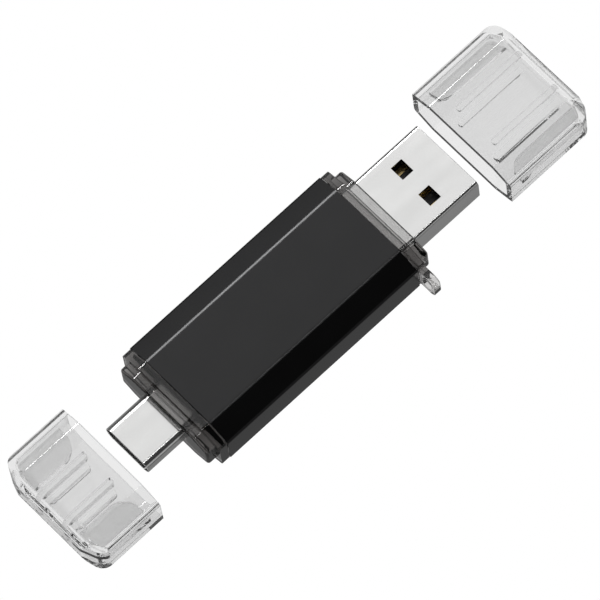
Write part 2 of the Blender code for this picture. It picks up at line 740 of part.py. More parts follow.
def cap_plan(length, inset=0.0):
    """The cap, or the room in it, from above: a flat end, two sloped corners and rounded shoulders."""
    side = SLEEVE_WIDTH / 2 + TRIM_GAP
    half_end = SLEEVE_FLAT / 2
    mouth = -2 * OVERSHOOT
    shoulder = length - CAP_CORNER_BACK
    lower = [(mouth, -side), (shoulder, -side), (length, -half_end)]
    upper = [(x, -y) for x, y in reversed(lower)]
    corners = inset_outline(lower + upper, inset)
    radius = CAP_CORNER_RADIUS - inset
    low = round_corner(*corners[0:3], radius, ARC_STEPS)
    high = round_corner(*corners[3:6], radius, ARC_STEPS)
    return [corners[0], *low, *corners[2:4], *high, corners[5]]


def cap_profile(length, inset=0.0):
    """The cap, or the room in it, from the side: its far corners are round."""
    half_height = SLEEVE_HEIGHT / 2 - inset + TRIM_GAP
    corners = rectangle(-OVERSHOOT, -half_height, length, half_height)
    radius = CAP_END_RADIUS - inset
    low = round_corner(*corners[0:3], radius, ARC_STEPS)
    high = round_corner(*corners[1:4], radius, ARC_STEPS)
    return [corners[0], *low, *high, corners[3]]


def fin_plan(cap, side):
    """One side fin from above: it fills the space beside the plug and has a round corner at its front."""
    inner = cap.plug_width / 2 + CAP_SIDE_FIT
    outer = SLEEVE_WIDTH / 2 + OVERSHOOT
    rear = cap.length + OVERSHOOT
    arc = round_corner((rear, inner), (cap.recess, inner), (cap.recess, outer), cap.fin_radius, ARC_STEPS)
    outline = [(rear, inner), *arc, (cap.recess, outer), (rear, outer)]
    return [(x, side * y) for x, y in outline]


def rib_plan(cap, offset):
    """One rib from above, with a round front end."""
    front = cap.recess + RIB_SETBACK
    corners = rectangle(front, offset - RIB_WIDTH / 2, cap.length + OVERSHOOT, offset + RIB_WIDTH / 2)
    upper = round_corner(*corners[2:4], corners[0], RIB_NOSE, FINE_ARC_STEPS)
    lower = round_corner(corners[3], *corners[0:2], RIB_NOSE, FINE_ARC_STEPS)
    return lower + corners[1:3] + upper


def trim_cap_block(obj, length, slide, inset=0.0):
    """Gives a block of the cap's section, or of its room's, the cap's far end from above and the side."""
    across = SLEEVE_WIDTH / 2 + OVERSHOOT
    up = SLEEVE_HEIGHT / 2 + OVERSHOOT
    plan = [(cap_plan(length, inset), along_z, -up, up)]
    combine(obj, "INTERSECT", make_tool(obj.name + "_plan", plan, slide))
    profile = [(cap_profile(length - inset + TRIM_GAP, inset), along_y, -across, across)]
    combine(obj, "INTERSECT", make_tool(obj.name + "_profile", profile, slide))


def make_cap(name, cap, slide, material):
    outer = rounded(eight_sided(), EDGE_RADIUS)
    obj = make_solid(name, [(outer, along_x, 0, cap.length + OVERSHOOT)], slide, material)
    trim_cap_block(obj, cap.length, slide)
    shade_round(obj)

    inner = rounded(eight_sided(CAP_WALL), EDGE_RADIUS)
    room = make_tool(name + "_room", [(inner, along_x, -OVERSHOOT / 2, cap.length)], slide)
    trim_cap_block(room, cap.length - CAP_END_WALL + CAP_WALL, slide, CAP_WALL)
    half_fin = FIN_THICKNESS / 2
    fins = [(fin_plan(cap, side), along_z, -half_fin, half_fin) for side in (1, -1)]
    combine(room, "DIFFERENCE", make_tool(name + "_fins", fins, slide))
    level = cap.plug_height / 2 + CAP_PLUG_FIT
    reach = SLEEVE_HEIGHT / 2 + OVERSHOOT
    ribs = []
    for offset in (-cap.rib_offset, cap.rib_offset):
        ribs.append((rib_plan(cap, offset), along_z, level, reach))
        ribs.append((rib_plan(cap, offset), along_z, -reach, -level))
    combine(room, "DIFFERENCE", make_tool(name + "_ribs", ribs, slide))
    combine(obj, "DIFFERENCE", room)


def make_materials():
    return {
        "anodised": make_material("black_anodised_aluminium", (0.02, 0.02, 0.022), 0.35, 1.0),
        "smoke": make_material("smoke_clear_plastic", (0.12, 0.12, 0.12), 0.08, 0.0, 0.8),
        "clear": make_material("clear_plastic", (0.95, 0.96, 0.96), 0.04, 0.0, 1.0),
        "steel": make_material("plated_steel", (0.78, 0.78, 0.77), 0.25, 1.0),
        "gold": make_material("gold_plate", (0.85, 0.65, 0.3), 0.25, 1.0),
        "black_plastic": make_material("black_plastic", (0.01, 0.01, 0.01), 0.5),
        "board": make_material("green_board", (0.02, 0.16, 0.06), 0.45),
        "chip": make_material("chip_resin", (0.03, 0.03, 0.03), 0.6),
        "ceramic": make_material("tan_ceramic", (0.45, 0.33, 0.2), 0.5),
        "lamp": make_material("lamp_resin", (0.75, 0.85, 0.9), 0.3),
    }


def main():
    clear_scene()
    materials = make_materials()
    middle = SLEEVE_HEIGHT / 2
    half = SLEEVE_LENGTH / 2
    body = make_empty("drive", (0, 0, middle))
    end_a = make_empty("usb_a_end", (half, 0, 0), parent=body)
    end_c = make_empty("usb_c_end", (-half, 0, 0), turn=math.pi, parent=body)
    slide_a = make_empty("usb_a_cap_slide", (PLUG_A_TIP + CAP_AWAY, 0, 0), parent=end_a)
    slide_c = make_empty("usb_c_cap_slide", (PLUG_C_TIP + CAP_AWAY, 0, 0), parent=end_c)

    make_sleeve(body, materials)
    make_end_frames(end_a, end_c, materials)
    make_board(body, materials)
    make_components(body, materials)
    make_plug_a_shell(end_a, materials)
    make_plug_a_insulator(end_a, materials)
    make_plug_a_contacts(end_a, materials)
    make_plug_c_shell(end_c, materials)
    make_plug_c_insulator(end_c, materials)
    make_plug_c_contacts(end_c, materials)
    make_latch_spring(end_c, materials)
    make_shield_springs(end_c, materials)
    clear = materials["clear"]
    make_cap("usb_a_cap", CAP_A, slide_a, clear)
    make_cap("usb_c_cap", CAP_C, slide_c, clear)


main()
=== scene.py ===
"""Looks of a USB flash drive with two plugs and two clear pull-off caps.

The file is laid out as an add-on: each operator makes one piece, or one group of like pieces, around the
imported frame, and the panel lists them. Lengths are in metres. Each end of the drive has its own space, whose
origin is the centre of the sleeve's end face, or of the cap's mouth, and whose +X points out of the sleeve.
"""

import math

import bmesh
import bpy
from bpy.props import FloatProperty, FloatVectorProperty, IntProperty, PointerProperty
from mathutils import Matrix, Vector


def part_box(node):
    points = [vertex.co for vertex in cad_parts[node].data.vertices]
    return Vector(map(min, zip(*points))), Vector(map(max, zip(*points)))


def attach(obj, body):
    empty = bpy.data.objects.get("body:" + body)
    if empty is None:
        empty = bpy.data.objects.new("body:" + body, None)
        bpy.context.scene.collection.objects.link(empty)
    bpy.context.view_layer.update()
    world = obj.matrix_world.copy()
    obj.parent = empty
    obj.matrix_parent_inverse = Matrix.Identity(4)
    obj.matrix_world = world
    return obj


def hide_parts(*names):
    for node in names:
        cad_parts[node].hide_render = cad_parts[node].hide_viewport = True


bl_info = {
    "name": "Flash Drive Looks",
    "version": (1, 0, 0),
    "blender": (4, 5, 0),
    "location": "View3D > Sidebar > Flash Drive",
    "description": "Makes the visible pieces, materials and stage of a flash drive with two plugs",
    "category": "Object",
}

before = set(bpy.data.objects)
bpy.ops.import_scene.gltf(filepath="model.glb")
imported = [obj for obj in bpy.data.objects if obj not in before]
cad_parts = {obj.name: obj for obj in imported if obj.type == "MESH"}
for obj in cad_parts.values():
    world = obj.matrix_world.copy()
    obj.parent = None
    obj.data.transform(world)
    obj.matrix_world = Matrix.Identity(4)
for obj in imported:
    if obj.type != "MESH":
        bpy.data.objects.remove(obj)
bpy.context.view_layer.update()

MM = 0.001
MERGE = 0.0005 * MM
OVERSHOOT = 1.0 * MM  # how far a cutter runs past what it cuts
TRIM_GAP = 0.01 * MM  # keeps a trimming outline's straight sides off the faces that they follow
FULL_ROUND = 0.49  # corner radius as a share of a height, just short of a half circle
PLUG_HOLE_REACH = 10 * MM  # how far a plug's hole is cut to each side of the sleeve's end face
LOOP_HOLE_ROUNDNESS = 0.9  # corner radius of the cord's hole as a share of half its width
RAIL_GRIP = 0.8 * MM  # how far each rail reaches in over the board's edge
RAIL_RISE = 1.2 * MM  # how far the rails stand above and below the middle
SHELL_C_STEPS = 14  # in each corner of the USB-C shell, whose ends are almost half circles
SEAM_SLANT = 0.3  # how far the dovetail's neck draws in, as a share of its depth
SMOOTH_ANGLE = math.radians(30)
CREASE_ANGLE = math.radians(16)

SLEEVE_LOW, SLEEVE_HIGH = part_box("body_sleeve")
MIDDLE_Z = (SLEEVE_LOW.z + SLEEVE_HIGH.z) / 2
HALF_WIDTH = (SLEEVE_HIGH.y - SLEEVE_LOW.y) / 2
HALF_HEIGHT = (SLEEVE_HIGH.z - SLEEVE_LOW.z) / 2

END_A = Matrix.Translation((SLEEVE_HIGH.x, 0, MIDDLE_Z))
END_C = Matrix.Translation((SLEEVE_LOW.x, 0, MIDDLE_Z)) @ Matrix.Rotation(math.pi, 4, "Z")
CAP_A_MOUTH = Matrix.Translation((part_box("usb_a_cap")[0].x, 0, MIDDLE_Z))
CAP_C_MOUTH = Matrix.Translation((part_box("usb_c_cap")[1].x, 0, MIDDLE_Z)) @ Matrix.Rotation(math.pi, 4, "Z")


# ---- Settings ----


def length_setting(name, description, default):
    return FloatProperty(
        name=name, description=description, default=default, min=0.0, precision=5, unit="LENGTH"
    )


def colour_setting(name, description, default):
    return FloatVectorProperty(
        name=name, description=description, default=default, min=0.0, max=1.0, size=3, subtype="COLOR"
    )


def share_setting(name, description, default):
    return FloatProperty(
        name=name, description=description, default=default, min=0.0, max=1.0, subtype="FACTOR"
    )


class SleeveSettings(bpy.types.PropertyGroup):
    """Sizes and finish of the aluminium sleeve."""

    flat_width: length_setting("Flat width", "Width of the top and bottom flats", 12.2 * MM)
    chamfer_drop: length_setting("Chamfer drop", "Height that each sloped flat falls", 1.2 * MM)
    wall: length_setting("Wall", "Thickness of the tube", 0.9 * MM)
    flat_edge: length_setting("Flat edge", "Width of the soft edge beside a flat, each side", 0.28 * MM)
    side_edge: length_setting("Side edge", "Width of the soft edge beside an upright side", 0.36 * MM)
    rim_edge: length_setting("Rim edge", "Width of the broken edge round each sawn end", 0.07 * MM)
    colour: colour_setting("Colour", "Dyed oxide layer", (0.03, 0.03, 0.0305))
    roughness: share_setting("Roughness", "Blasted and dyed surface", 0.21)


class EndFrameSettings(bpy.types.PropertyGroup):
    """Sizes and finish of the two end frames."""

    face_gap: length_setting("Face gap", "Gap between the band and the sleeve", 0.1 * MM)
    band_length: length_setting("Band length", "Length of the band that is flush with the sleeve", 1.3 * MM)
    band_inset: length_setting("Band inset", "How far the band lies inside the sleeve's outline", 0.1 * MM)
    boss_inset: length_setting("Boss inset", "How far the cap's boss lies inside the outline", 1.1 * MM)
    boss_a_length: length_setting("USB-A boss length", "How far the USB-A boss stands out", 1.55 * MM)
    boss_c_length: length_setting("USB-C boss length", "How far the USB-C boss stands out", 1.5 * MM)
    spigot_length: length_setting("Spigot length", "How far the frame goes into the sleeve", 3.0 * MM)
    spigot_inset: length_setting("Spigot inset", "How far the spigot lies inside the outline", 1.05 * MM)
    plug_fit: length_setting("Plug fit", "Gap all round each plug", 0.1 * MM)
    loop_reach: length_setting("Loop reach", "How far the lanyard loop stands out", 2.8 * MM)
    loop_height: length_setting("Loop height", "Height of the lanyard loop", 4.3 * MM)
    loop_corner: length_setting("Loop corner", "Corner radius of the lanyard loop", 1.1 * MM)
    loop_hole_width: length_setting("Loop hole width", "Width of the cord's hole", 1.6 * MM)
    loop_hole_height: length_setting("Loop hole height", "Height of the cord's hole", 2.1 * MM)
    edge: length_setting("Edge", "Width of the moulded edges", 0.1 * MM)
    boss_nose: length_setting("Boss nose", "Rounding of the bosses' front edges", 0.4 * MM)
    smoke: share_setting("Smoke", "Share of the light lost in a millimetre of plastic", 0.34)


class PlugSettings(bpy.types.PropertyGroup):
    """Sizes and finish of the two plug shells."""

    sheet_a: length_setting("USB-A sheet", "Sheet thickness of the USB-A shell", 0.3 * MM)
    corner_a: length_setting("USB-A corner", "Corner radius of the USB-A shell", 0.6 * MM)
    window_width: length_setting("Window width", "Width of each window", 2.35 * MM)
    window_length: length_setting("Window length", "Length of each window", 1.95 * MM)
    window_offset: length_setting("Window offset", "From the middle line to a window's centre", 2.65 * MM)
    window_from_tip: length_setting("Window from tip", "From the tip to the windows' centres", 5.8 * MM)
    window_corner: length_setting("Window corner", "Corner radius of a window", 0.08 * MM)
    lip_a: length_setting("USB-A lip", "Rounding of the USB-A shell's front edge", 0.09 * MM)
    seam: length_setting("Seam", "Width of the folded seam under the USB-A shell", 0.06 * MM)
    seam_tail: length_setting("Seam tail", "Half the width of the seam's dovetail", 1.5 * MM)
    seam_depth: length_setting("Seam depth", "How far the dovetail stands off the seam", 0.9 * MM)
    sheet_c: length_setting("USB-C sheet", "Sheet thickness of the USB-C shell", 0.2 * MM)
    lip_c: length_setting("USB-C lip", "Rounding of the USB-C shell's front edge", 0.14 * MM)
    colour: colour_setting("Colour", "Nickel plate", (0.69, 0.69, 0.685))
    roughness: share_setting("Roughness", "Satin plate", 0.16)


class CapSettings(bpy.types.PropertyGroup):
    """Sizes and finish of the two clear caps."""

    wall: length_setting("Wall", "Thickness of the walls", 1.0 * MM)
    end_wall: length_setting("End wall", "Thickness of the far wall", 1.2 * MM)
    corner_back: length_setting("Corner back", "How far the end's sloped corners fall back", 1.3 * MM)
    corner_radius: length_setting("Shoulder radius", "Radius of the shoulders seen from above", 1.8 * MM)
    end_radius: length_setting("End radius", "Radius of the end's top and bottom edges", 2.4 * MM)
    inner_end_radius: length_setting("Inner end radius", "The same inside, where the room ends", 1.4 * MM)
    fin_thickness: length_setting("Fin thickness", "Thickness of the side fins", 1.0 * MM)
    fin_fit: length_setting("Fin fit", "Gap between each fin and the plug", 0.2 * MM)
    rib_width: length_setting("Rib width", "Width of each rib", 0.9 * MM)
    rib_setback: length_setting("Rib setback", "How far behind the recess the ribs start", 0.3 * MM)
    rib_nose: length_setting("Rib nose", "Corner radius of a rib's front end", 0.4 * MM)
    rib_fit: length_setting("Rib fit", "Gap between each rib and the plug", 0.1 * MM)
    recess_a: length_setting("USB-A recess", "Depth of the mouth that takes the USB-A boss", 2.2 * MM)
    recess_c: length_setting("USB-C recess", "Depth of the mouth that takes the USB-C boss", 1.8 * MM)
    fin_a_radius: length_setting("USB-A fin radius", "Corner radius of the USB-A cap's fins", 2.2 * MM)
    fin_c_radius: length_setting("USB-C fin radius", "Corner radius of the USB-C cap's fins", 2.8 * MM)
    rib_a_offset: length_setting("USB-A rib offset", "From the middle line to a rib's centre", 3.4 * MM)
    rib_c_offset: length_setting("USB-C rib offset", "From the middle line to a rib's centre", 2.55 * MM)
    edge: length_setting("Edge", "Width of the moulded edges", 0.09 * MM)
    colour: colour_setting("Colour", "Tint of the clear plastic", (0.82, 0.82, 0.82))
    segments: IntProperty(name="Segments", description="Steps in each round corner", default=14, min=2)


class StageSettings(bpy.types.PropertyGroup):
    """Brightness of the floor and the room."""

    floor_tone: share_setting("Floor tone", "Brightness of the floor", 1.0)
    through_tone: share_setting("Seen through", "Brightness of the floor seen through clear plastic", 1.0)
    mirrored_tone: share_setting("Mirrored", "Brightness of the floor in reflections", 0.27)
    scattered_tone: share_setting("Scattered", "Brightness of the floor to every other ray", 0.5)
    room_tone: share_setting("Room tone", "Brightness of the room", 0.05)


# ---- Meshes ----


AXES = {
    "X": lambda across, up, along: (along, across, up),
    "Y": lambda across, up, along: (across, along, up),
    "Z": lambda across, up, along: (across, up, along),
}


def corner_reach(points, index, radius):
    """How far along its two sides an arc of that radius cuts back an outline's corner."""
    here = Vector(points[index])
    arriving = here - Vector(points[index - 1])
    leaving = Vector(points[(index + 1) % len(points)]) - here
    return radius * math.tan(arriving.angle(leaving) / 2)


def prism(points, axis, low, high, radii=None, segments=8):
    """The outline through the points, with some corners rounded, extruded along an axis."""
    shape = bmesh.new()
    corners = [shape.verts.new(AXES[axis](a, b, low)) for a, b in points]
    shape.faces.new(corners)
    for index, radius in (radii or {}).items():
        bmesh.ops.bevel(
            shape,
            geom=[corners[index]],
            offset=corner_reach(points, index, radius),
            affect="VERTICES",
            segments=segments,
            profile=0.5,
            material=-1,
        )
    grown = bmesh.ops.extrude_face_region(shape, geom=shape.faces[:])["geom"]
    moved = [item for item in grown if isinstance(item, bmesh.types.BMVert)]
    bmesh.ops.translate(shape, verts=moved, vec=AXES[axis](0, 0, high - low))
    bmesh.ops.recalc_face_normals(shape, faces=shape.faces)
    return shape


def rectangle(low_a, low_b, high_a, high_b):
    return [(low_a, low_b), (high_a, low_b), (high_a, high_b), (low_a, high_b)]


def rounded_bar(width, height, radius, low, high, segments=8):
    """A bar along X with the same radius on its four long edges."""
    corners = rectangle(-width / 2, -height / 2, width / 2, height / 2)
    return prism(corners, "X", low, high, {index: radius for index in range(4)}, segments)


def eight_sided(sleeve, inset=0.0):
    """The sleeve's section, or a parallel section inside it, as (across, up) points."""
    flat = sleeve.flat_width / 2
    shoulder = HALF_HEIGHT - sleeve.chamfer_drop
    slope = math.atan2(sleeve.chamfer_drop, HALF_WIDTH - flat)
    at_side = inset * math.tan((math.pi / 2 - slope) / 2)
    at_flat = inset * math.tan(slope / 2)
    quarter = [
        (HALF_WIDTH - inset, shoulder - at_side),
        (flat - at_flat, HALF_HEIGHT - inset),
    ]
    upper = quarter + [(-y, z) for y, z in reversed(quarter)]
    return upper + [(-y, -z) for y, z in upper]


def eight_sided_radii(sleeve):
    """The corner radii that give every long edge of the section the width in the settings."""
    slope = math.atan2(sleeve.chamfer_drop, HALF_WIDTH - sleeve.flat_width / 2)
    side = sleeve.side_edge / math.tan((math.pi / 2 - slope) / 2)
    flat = sleeve.flat_edge / math.tan(slope / 2)
    return {index: side if index % 4 in (0, 3) else flat for index in range(8)}


def eight_sided_bar(sleeve, inset, low, high, segments=5):
    return prism(eight_sided(sleeve, inset), "X", low, high, eight_sided_radii(sleeve), segments)


def make_object(name, shape):
    mesh = bpy.data.meshes.new(name)
    shape.to_mesh(mesh)
    shape.free()
    obj = bpy.data.objects.new(name, mesh)
    bpy.context.scene.collection.objects.link(obj)
    return obj


def apply_modifiers(obj):
    graph = bpy.context.evaluated_depsgraph_get()
    finished = bpy.data.meshes.new_from_object(
        obj.evaluated_get(graph), preserve_all_data_layers=True, depsgraph=graph
    )
    obj.modifiers.clear()
    replaced = obj.data
    obj.data = finished
    bpy.data.meshes.remove(replaced)


def combine(obj, operation, *shapes):
    """Joins shapes to an object, cuts them out of it, or keeps what it shares with them."""
    tools = []
    for shape in shapes:
        tool = make_object("tool", shape)
        modifier = obj.modifiers.new("boolean", "BOOLEAN")
        modifier.operation = operation
        modifier.object = tool
        modifier.solver = "EXACT"
        tools.append(tool)
    apply_modifiers(obj)
    for tool in tools:
        bpy.data.objects.remove(tool)


def bevel_edges(shape, edges, width, segments):
    bmesh.ops.bevel(
        shape,
        geom=edges,
        offset=width,
        offset_type="OFFSET",
        affect="EDGES",
        segments=segments,
        profile=0.5,
        clamp_overlap=True,
        material=-1,
    )


def soften_edges(obj, width, segments=2, wanted=None):
    """Rounds the creased edges, or those of them that wanted picks."""
    shape = bmesh.new()
    shape.from_mesh(obj.data)
    bmesh.ops.remove_doubles(shape, verts=shape.verts, dist=MERGE)
    creased = [
        edge
        for edge in shape.edges
        if edge.is_manifold and edge.calc_face_angle() > CREASE_ANGLE and (wanted is None or wanted(edge))
    ]
    bevel_edges(shape, creased, width, segments)
    shape.to_mesh(obj.data)
    shape.free()


def finish_piece(obj, place, body, nodes, material):
    """Puts a piece in its place, shades it, and lets it stand for its CAD nodes."""
    obj.data.transform(place)
    obj.data.shade_smooth()
    obj.data.set_sharp_from_angle(angle=SMOOTH_ANGLE)
    weighted = obj.modifiers.new("flat faces first", "WEIGHTED_NORMAL")
    weighted.keep_sharp = True
    apply_modifiers(obj)
    obj.data.materials.clear()
    obj.data.materials.append(material)
    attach(obj, body)
    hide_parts(*nodes)


# ---- Materials ----


def new_group(name, inputs, outputs):
    """A node group with (name, default) float inputs after a vector, and (name, type) outputs."""
    group = bpy.data.node_groups.new(name, "ShaderNodeTree")
    group.interface.new_socket(name="Vector", in_out="INPUT", socket_type="NodeSocketVector")
    for socket_name, default in inputs:
        socket = group.interface.new_socket(
            name=socket_name, in_out="INPUT", socket_type="NodeSocketFloat"
        )
        socket.default_value = default
    for socket_name, kind in outputs:
        group.interface.new_socket(name=socket_name, in_out="OUTPUT", socket_type=kind)
    return group, group.nodes.new("NodeGroupInput"), group.nodes.new("NodeGroupOutput")


def ranged(nodes, links, value, low, high):
    """A Map Range node that turns a noise value into one between two sockets or numbers."""
    mapped = nodes.new("ShaderNodeMapRange")
    mapped.inputs["From Min"].default_value = 0.3
    mapped.inputs["From Max"].default_value = 0.7
    links.new(value, mapped.inputs["Value"])
    for socket, source in (("To Min", low), ("To Max", high)):
        if isinstance(source, float):
            mapped.inputs[socket].default_value = source
        else:
            links.new(source, mapped.inputs[socket])
    return mapped.outputs["Result"]


def grain_group():
    """Fine even grain, as blasting or a mould's surface leaves: a roughness and a normal."""
    if "surface grain" in bpy.data.node_groups:
        return bpy.data.node_groups["surface grain"]
    group, given, result = new_group(
        "surface grain",
        [("Scale", 9000.0), ("Depth", 0.1), ("Low", 0.3), ("High", 0.4)],
        [("Roughness", "NodeSocketFloat"), ("Normal", "NodeSocketVector")],
    )
    nodes, links = group.nodes, group.links
    fine = nodes.new("ShaderNodeTexNoise")
    fine.inputs["Detail"].default_value = 3.0
    links.new(given.outputs["Vector"], fine.inputs["Vector"])
    links.new(given.outputs["Scale"], fine.inputs["Scale"])
    patches = nodes.new("ShaderNodeTexNoise")
    patches.inputs["Scale"].default_value = 160.0
    patches.inputs["Detail"].default_value = 4.0
    links.new(given.outputs["Vector"], patches.inputs["Vector"])
    bump = nodes.new("ShaderNodeBump")
    bump.inputs["Distance"].default_value = 0.004 * MM
    links.new(given.outputs["Depth"], bump.inputs["Strength"])
    links.new(fine.outputs["Fac"], bump.inputs["Height"])
    rough = ranged(nodes, links, patches.outputs["Fac"], given.outputs["Low"], given.outputs["High"])
    links.new(rough, result.inputs["Roughness"])
    links.new(bump.outputs["Normal"], result.inputs["Normal"])
    return group


def streak_group():
    """Long fine lines along one axis, as drawing, rolling or wiping leaves."""
    if "drawn streaks" in bpy.data.node_groups:
        return bpy.data.node_groups["drawn streaks"]
    group, given, result = new_group(
        "drawn streaks",
        [("Depth", 0.1), ("Low", 0.15), ("High", 0.25)],
        [("Roughness", "NodeSocketFloat"), ("Normal", "NodeSocketVector"), ("Mask", "NodeSocketFloat")],
    )
    nodes, links = group.nodes, group.links
    stretch = nodes.new("ShaderNodeMapping")
    stretch.inputs["Scale"].default_value = (110.0, 420.0, 420.0)
    links.new(given.outputs["Vector"], stretch.inputs["Vector"])
    lines = nodes.new("ShaderNodeTexNoise")
    lines.inputs["Scale"].default_value = 1.0
    lines.inputs["Detail"].default_value = 4.0
    links.new(stretch.outputs["Vector"], lines.inputs["Vector"])
    bump = nodes.new("ShaderNodeBump")
    bump.inputs["Distance"].default_value = 0.003 * MM
    links.new(given.outputs["Depth"], bump.inputs["Strength"])
    links.new(lines.outputs["Fac"], bump.inputs["Height"])
    rough = ranged(nodes, links, lines.outputs["Fac"], given.outputs["Low"], given.outputs["High"])
    links.new(rough, result.inputs["Roughness"])
    links.new(bump.outputs["Normal"], result.inputs["Normal"])
    links.new(ranged(nodes, links, lines.outputs["Fac"], 0.0, 1.0), result.inputs["Mask"])
    return group


def new_material(name, colour, metallic=0.0, roughness=0.5):
    """A material with its Principled shader and its Object coordinates."""
    material = bpy.data.materials.new(name)
    material.use_nodes = True
    material.diffuse_color = (*colour, 1.0)
    shader = material.node_tree.nodes["Principled BSDF"]
    shader.inputs["Base Color"].default_value = (*colour, 1.0)
    shader.inputs["Metallic"].default_value = metallic
    shader.inputs["Roughness"].default_value = roughness
    place = material.node_tree.nodes.new("ShaderNodeTexCoord")
    return material, shader, place.outputs["Object"]


def add_group(material, shader, group, vector, outputs=("Roughness", "Normal"), **values):
    """Places a shared group in a material and links the outputs that it gives to the shader."""
    tree = material.node_tree
    node = tree.nodes.new("ShaderNodeGroup")
    node.node_tree = group
    tree.links.new(vector, node.inputs["Vector"])
    for socket, value in values.items():
        node.inputs[socket].default_value = value
    for socket in outputs:
        tree.links.new(node.outputs[socket], shader.inputs[socket])
    return node


def tint_by(material, shader, mask, low, high):
    """Base colour between two colours, by a mask."""
    tree = material.node_tree
    mix = tree.nodes.new("ShaderNodeMix")
    mix.data_type = "RGBA"
    colours = [socket for socket in mix.inputs if socket.type == "RGBA"]
    colours[0].default_value = (*low, 1.0)
    colours[1].default_value = (*high, 1.0)
    tree.links.new(mask, mix.inputs["Factor"])
    output = next(socket for socket in mix.outputs if socket.type == "RGBA")
    tree.links.new(output, shader.inputs["Base Color"])


def anodised_material(settings):
    material, shader, vector = new_material("black_anodised_aluminium", settings.colour, 1.0)
    rough = settings.roughness
    grain = {"Scale": 14000.0, "Depth": 0.15, "Low": rough, "High": rough + 0.02}
    add_group(material, shader, grain_group(), vector, **grain)
    return material


def steel_material(settings):
    material, shader, vector = new_material("plated_steel", settings.colour, 1.0)
    rough = settings.roughness
    node = add_group(material, shader, streak_group(), vector, Depth=0.03, Low=rough, High=rough + 0.03)
    darker = [0.95 * channel for channel in settings.colour]
    tint_by(material, shader, node.outputs["Mask"], darker, settings.colour)
    return material


def clear_material(name, colour, index_of_refraction):
    material, shader, vector = new_material(name, colour)
    shader.inputs["Transmission Weight"].default_value = 1.0
    shader.inputs["IOR"].default_value = index_of_refraction
    add_group(material, shader, grain_group(), vector, Scale=700.0, Depth=0.02, Low=0.0, High=0.012)
    return material


def smoke_material(frames):
    """Clear plastic with a grey dye in it, which deepens with its thickness."""
    material = clear_material("smoke_plastic", (1.0, 1.0, 1.0), 1.5)
    tree = material.node_tree
    dye = tree.nodes.new("ShaderNodeVolumeAbsorption")
    dye.inputs["Color"].default_value = (0.03, 0.01, 0.0, 1.0)
    dye.inputs["Density"].default_value = -math.log(1.0 - frames.smoke) / MM
    result = next(node for node in tree.nodes if node.type == "OUTPUT_MATERIAL")
    tree.links.new(dye.outputs["Volume"], result.inputs["Volume"])
    return material


def plastic_material(name, colour, roughness):
    material, shader, vector = new_material(name, colour)
    grain = {"Scale": 12000.0, "Depth": 0.3, "Low": roughness, "High": roughness + 0.12}
    add_group(material, shader, grain_group(), vector, **grain)
    return material


def gold_material():
    material, shader, vector = new_material("gold_plate", (0.86, 0.66, 0.3), 1.0)
    node = add_group(material, shader, streak_group(), vector, Depth=0.15, Low=0.15, High=0.28)
    tint_by(material, shader, node.outputs["Mask"], (0.8, 0.58, 0.24), (0.92, 0.73, 0.37))
    return material


def board_material():
    """Green mask with paler copper tracks under it."""
    material, shader, vector = new_material("board_laminate", (0.02, 0.16, 0.06))
    tree = material.node_tree
    tracks = tree.nodes.new("ShaderNodeTexBrick")
    tracks.inputs["Scale"].default_value = 420.0
    tracks.inputs["Mortar Size"].default_value = 0.03
    tracks.inputs["Color1"].default_value = (0.0, 0.0, 0.0, 1.0)
    tracks.inputs["Color2"].default_value = (0.15, 0.15, 0.15, 1.0)
    tracks.inputs["Mortar"].default_value = (1.0, 1.0, 1.0, 1.0)
    tree.links.new(vector, tracks.inputs["Vector"])
    tint_by(material, shader, tracks.outputs["Color"], (0.012, 0.1, 0.04), (0.05, 0.26, 0.1))
    add_group(material, shader, grain_group(), vector, Scale=5000.0, Depth=0.2, Low=0.3, High=0.4)
    return material


def ceramic_material():
    material, shader, vector = new_material("ceramic", (0.45, 0.33, 0.2))
    node = add_group(material, shader, grain_group(), vector, Scale=9000.0, Depth=0.2, Low=0.4, High=0.55)
    tint_by(material, shader, node.outputs["Roughness"], (0.36, 0.25, 0.14), (0.56, 0.42, 0.28))
    return material


def dress_nodes(nodes, material):
    """Gives CAD nodes that stay as they are their finish."""
    for name in nodes:
        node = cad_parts[name]
        node.data.materials.clear()
        node.data.materials.append(material)


# ---- Sleeve ----


class FLASHDRIVE_OT_sleeve(bpy.types.Operator):
    """Make the eight-sided aluminium sleeve"""

    bl_idname = "flashdrive.sleeve"
    bl_label = "Sleeve"

    def execute(self, context):
        sleeve = context.scene.flashdrive_sleeve
        low, high = SLEEVE_LOW.x, SLEEVE_HIGH.x
        obj = make_object("sleeve", eight_sided_bar(sleeve, 0.0, low, high))
        bore = prism(eight_sided(sleeve, sleeve.wall), "X", low - OVERSHOOT, high + OVERSHOOT)
        combine(obj, "DIFFERENCE", bore)
        soften_edges(obj, sleeve.rim_edge, 2, is_across)
        place = Matrix.Translation((0, 0, MIDDLE_Z))
        finish_piece(
            obj, place, "drive", ["body_sleeve"], anodised_material(sleeve)
        )
        return {"FINISHED"}


def is_across(edge):
    """Whether an edge lies in a plane across the drive."""
    return abs(edge.verts[0].co.x - edge.verts[1].co.x) < MERGE


# ---- End frames ----


def end_frame_shapes(sleeve, frames, boss_length):
    """The spigot, band and boss that both end frames are made of."""
    band_end = frames.face_gap + frames.band_length
    overlap = frames.band_length / 3
    spigot = eight_sided_bar(sleeve, frames.spigot_inset, -frames.spigot_length, frames.face_gap + overlap)
    band = eight_sided_bar(sleeve, frames.band_inset, frames.face_gap, band_end)
    boss = eight_sided_bar(sleeve, frames.boss_inset, band_end - overlap, band_end + boss_length)
    front_x = band_end + boss_length - MERGE
    front = [edge for edge in boss.edges if all(vert.co.x > front_x for vert in edge.verts)]
    bevel_edges(boss, front, frames.boss_nose, 6)
    return spigot, band, boss


